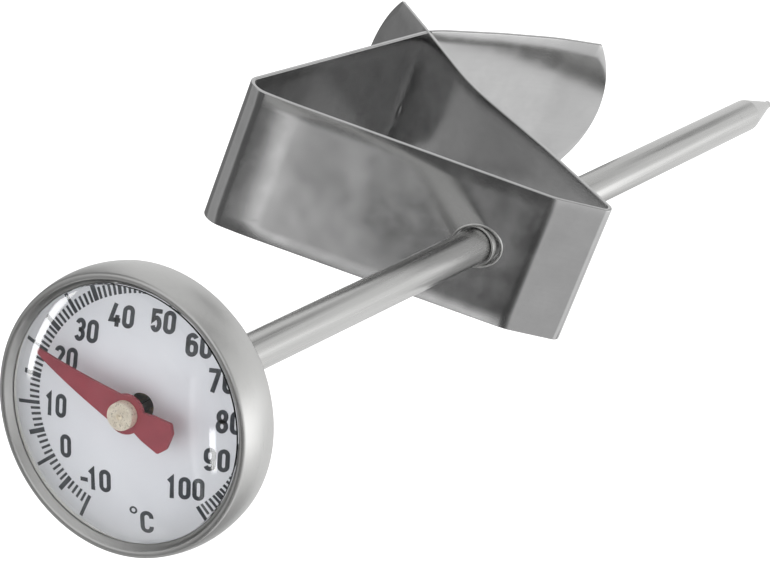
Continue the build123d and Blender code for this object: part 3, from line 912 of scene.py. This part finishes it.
def patch(light, az, el, soft, level):
    """Sets the light to this level inside a soft-edged window of azimuth and elevation in degrees."""
    mask = wt.math("MULTIPLY", window_of(azimuth, *az, soft), window_of(height, *el, soft))
    outside = wt.math("MULTIPLY", light, wt.math("SUBTRACT", 1.0, mask))
    return wt.math("ADD", outside, wt.math("MULTIPLY", mask, level))


TENT = 1.60  # light that matt surfaces get from all round
# azimuth 0 looks along +Y past the object, 90 to its right, -90 to its left, 180 to the camera's side
light = wt.remap(height, -20.0, 60.0, 0.92, 0.72)
PATCHES = [  # azimuth, elevation, softness of the edge, light
    ((-400, -146), (-95, 10), 9, 0.13),
    ((-146, -98), (-60, 24), 9, 0.40),
    ((168.3, 400), (-95, 10), 1.6, 0.13),
    ((138, 164.2), (-95, 10), 2.5, 0.08),
    ((163.8, 168.3), (-95, 10), 1.8, 0.80),
    ((165.7, 168.3), (-95, 10), 1.1, 1.75),
    ((-98, -44), (-95, 32), 9, 0.22),
    ((-128, -50), (32, 80), 9, 0.25),
    ((84, 126), (12, 62), 9, 0.30),
    ((36, 62), (34, 70), 9, 0.36),
    ((-34, 40), (-95, -40), 9, 0.34),
    ((-6, 20), (27, 40), 4, 0.28),
    ((28, 40), (-9, 5), 6, 1.35),
    ((44, 92), (-27, 4), 7, 1.7),
    ((100, 138), (-70, -25), 10, 0.58),
]
for azimuths, elevations, soft, level in PATCHES:
    light = patch(light, azimuths, elevations, soft, level)
# two narrow lamps that only the sharp first reflection in a polished surface shows
tilted = wt.math("ADD", azimuth, wt.math("MULTIPLY", height, 0.40))
LAMP_LEFT, LAMP_RIGHT = 9.0, 13.0
strip_lamp = wt.math("MULTIPLY", window_of(tilted, -104.8, -100.2, 0.7), window_of(height, -11.5, 23.0, 2.5))
small_lamp = wt.math("MULTIPLY", window_of(azimuth, 156.1, 158.9, 0.6), window_of(height, -35.5, -15.0, 3.0))
left_lamp = wt.math("MULTIPLY", strip_lamp, LAMP_LEFT)
right_lamp = wt.math("MULTIPLY", small_lamp, LAMP_RIGHT)
lamps = wt.math("ADD", left_lamp, right_lamp)
rays = wt.node("ShaderNodeLightPath").outputs
polish = wt.math("MULTIPLY", rays["Is Singular Ray"], wt.math("LESS_THAN", rays["Transmission Depth"], 1.0))
light = wt.math("ADD", light, wt.math("MULTIPLY", lamps, polish))
# matt surfaces are lit evenly by the studio's tent
matt = wt.math("MINIMUM", rays["Diffuse Depth"], 1.0)
mirrored = wt.math("MULTIPLY", light, wt.math("SUBTRACT", 1.0, matt))
light = wt.math("ADD", mirrored, wt.math("MULTIPLY", matt, TENT))
# the camera itself sees plain white behind the object
shown = wt.node("ShaderNodeBackground", {"Color": rgb(1, 1, 1), "Strength": 1.0})
cast = wt.node("ShaderNodeBackground", {"Color": rgb(1, 1, 1), "Strength": light})
chosen = wt.node("ShaderNodeMixShader", {0: rays["Is Camera Ray"], 1: cast.outputs[0], 2: shown.outputs[0]})
wt.node("ShaderNodeOutputWorld", {"Surface": chosen.outputs[0]})

camera = bpy.data.cameras.new("camera")
camera.sensor_fit = "HORIZONTAL"
camera.sensor_width = 36.0
camera.lens = 164.72
camera.clip_start = 0.01
eye = bpy.data.objects.new("camera", camera)
scene.collection.objects.link(eye)
right = Vector((0.8640, 0.5030, 0.0217))
down = Vector((0.1641, -0.2407, -0.9566))
ahead = Vector((-0.4760, 0.8301, -0.2905))
facing = Matrix((right, -down, -ahead)).transposed().to_4x4()
eye.matrix_world = Matrix.Translation((0.1760, -0.3494, 0.1083)) @ facing
scene.camera = eye
